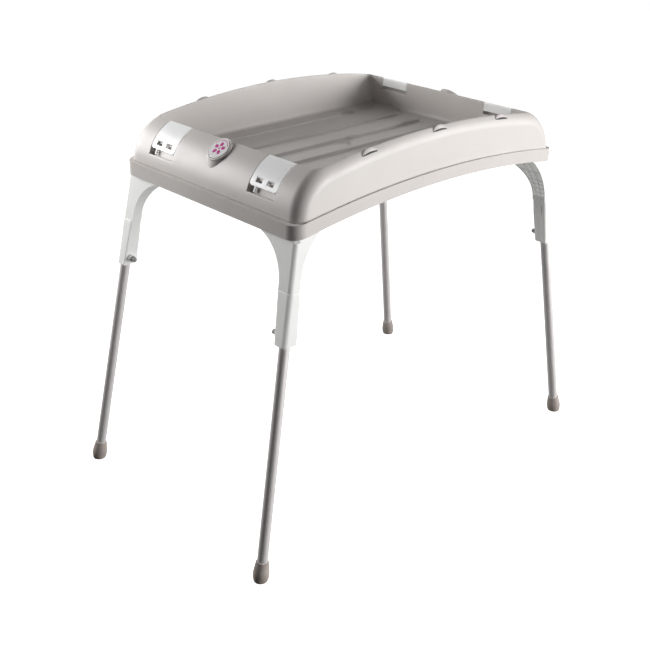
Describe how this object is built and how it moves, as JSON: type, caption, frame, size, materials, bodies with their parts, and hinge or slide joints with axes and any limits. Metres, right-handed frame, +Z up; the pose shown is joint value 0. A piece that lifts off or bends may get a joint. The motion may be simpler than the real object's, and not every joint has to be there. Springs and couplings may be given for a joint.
{
  "type": "changing table",
  "caption": "Changing table: arched moulded tray with a ribbed basin and flip latches on splayed pull-out tube legs held in flared brackets.",
  "frame": {"origin": "on the floor, under the middle of the table", "axes": "+X along the long side towards the right end, +Y towards the back, +Z up"},
  "size_m": [1.0454, 0.632, 0.852],
  "materials": {
    "tray_plastic": "satin moulded polypropylene",
    "white_plastic": "satin moulded polypropylene",
    "tube_aluminium": "satin drawn and anodised",
    "foot_rubber": "matte moulded",
    "knob_plastic": "satin",
    "badge_print": "gloss with a printed emblem",
    "screw_steel": "zinc plated",
    "spring_steel": "bright drawn wire"
  },
  "bodies": {
    "table": {"tray_tub": "tray_plastic", "skirt_frame": "tray_plastic", "badge_left": "badge_print", "badge_right": "badge_print", "frame_screws": "screw_steel", "bracket_screws": "screw_steel", "leg_bracket_right_back": "white_plastic", "lock_spring_right_back": "spring_steel", "leg_bracket_left_back": "white_plastic", "lock_spring_left_back": "spring_steel", "leg_bracket_right_front": "white_plastic", "lock_spring_right_front": "spring_steel", "leg_bracket_left_front": "white_plastic", "lock_spring_left_front": "spring_steel", "latch_pin_left_front": "screw_steel", "latch_pin_left_back": "screw_steel", "latch_pin_right_front": "screw_steel", "latch_pin_right_back": "screw_steel"},
    "leg_right_back": {"leg_tube_right_back": "tube_aluminium", "foot_right_back": "foot_rubber"},
    "leg_left_back": {"leg_tube_left_back": "tube_aluminium", "foot_left_back": "foot_rubber"},
    "leg_right_front": {"leg_tube_right_front": "tube_aluminium", "foot_right_front": "foot_rubber"},
    "leg_left_front": {"leg_tube_left_front": "tube_aluminium", "foot_left_front": "foot_rubber"},
    "knob_right_back": {"lock_knob_right_back": "knob_plastic"},
    "knob_left_back": {"lock_knob_left_back": "knob_plastic"},
    "knob_right_front": {"lock_knob_right_front": "knob_plastic"},
    "knob_left_front": {"lock_knob_left_front": "knob_plastic"},
    "latch_left_front": {"latch_left_front": "white_plastic"},
    "latch_left_back": {"latch_left_back": "white_plastic"},
    "latch_right_front": {"latch_right_front": "white_plastic"},
    "latch_right_back": {"latch_right_back": "white_plastic"}
  },
  "joints": [
    {"name": "leg_pull_right_back", "type": "slide", "parent": "table", "child": "leg_right_back", "axis": [0.18, 0.0629, -0.9817], "range_m": [0, 0.1]},
    {"name": "leg_pull_left_back", "type": "slide", "parent": "table", "child": "leg_left_back", "axis": [-0.18, 0.0629, -0.9817], "range_m": [0, 0.1]},
    {"name": "leg_pull_right_front", "type": "slide", "parent": "table", "child": "leg_right_front", "axis": [0.18, -0.0629, -0.9817], "range_m": [0, 0.1]},
    {"name": "leg_pull_left_front", "type": "slide", "parent": "table", "child": "leg_left_front", "axis": [-0.18, -0.0629, -0.9817], "range_m": [0, 0.1]},
    {"name": "lock_pull_right_back", "type": "slide", "parent": "table", "child": "knob_right_back", "axis": [0, -1, 0], "range_m": [0, 0.004], "stiffness_N_per_m": 600, "springref_m": -0.004, "deforming": ["lock_spring_right_back"]},
    {"name": "lock_pull_left_back", "type": "slide", "parent": "table", "child": "knob_left_back", "axis": [0, -1, 0], "range_m": [0, 0.004], "stiffness_N_per_m": 600, "springref_m": -0.004, "deforming": ["lock_spring_left_back"]},
    {"name": "lock_pull_right_front", "type": "slide", "parent": "table", "child": "knob_right_front", "axis": [0, 1, 0], "range_m": [0, 0.004], "stiffness_N_per_m": 600, "springref_m": -0.004, "deforming": ["lock_spring_right_front"]},
    {"name": "lock_pull_left_front", "type": "slide", "parent": "table", "child": "knob_left_front", "axis": [0, 1, 0], "range_m": [0, 0.004], "stiffness_N_per_m": 600, "springref_m": -0.004, "deforming": ["lock_spring_left_front"]},
    {"name": "latch_turn_left_front", "type": "hinge", "parent": "table", "child": "latch_left_front", "pos_m": [-0.334, -0.16, 0.8035], "axis": [0, 1, 0], "range_deg": [0, 105]},
    {"name": "latch_turn_left_back", "type": "hinge", "parent": "table", "child": "latch_left_back", "pos_m": [-0.334, 0.16, 0.8035], "axis": [0, 1, 0], "range_deg": [0, 105]},
    {"name": "latch_turn_right_front", "type": "hinge", "parent": "table", "child": "latch_right_front", "pos_m": [0.334, -0.16, 0.8035], "axis": [0, -1, 0], "range_deg": [0, 105]},
    {"name": "latch_turn_right_back", "type": "hinge", "parent": "table", "child": "latch_right_back", "pos_m": [0.334, 0.16, 0.8035], "axis": [0, -1, 0], "range_deg": [0, 105]}
  ]
}
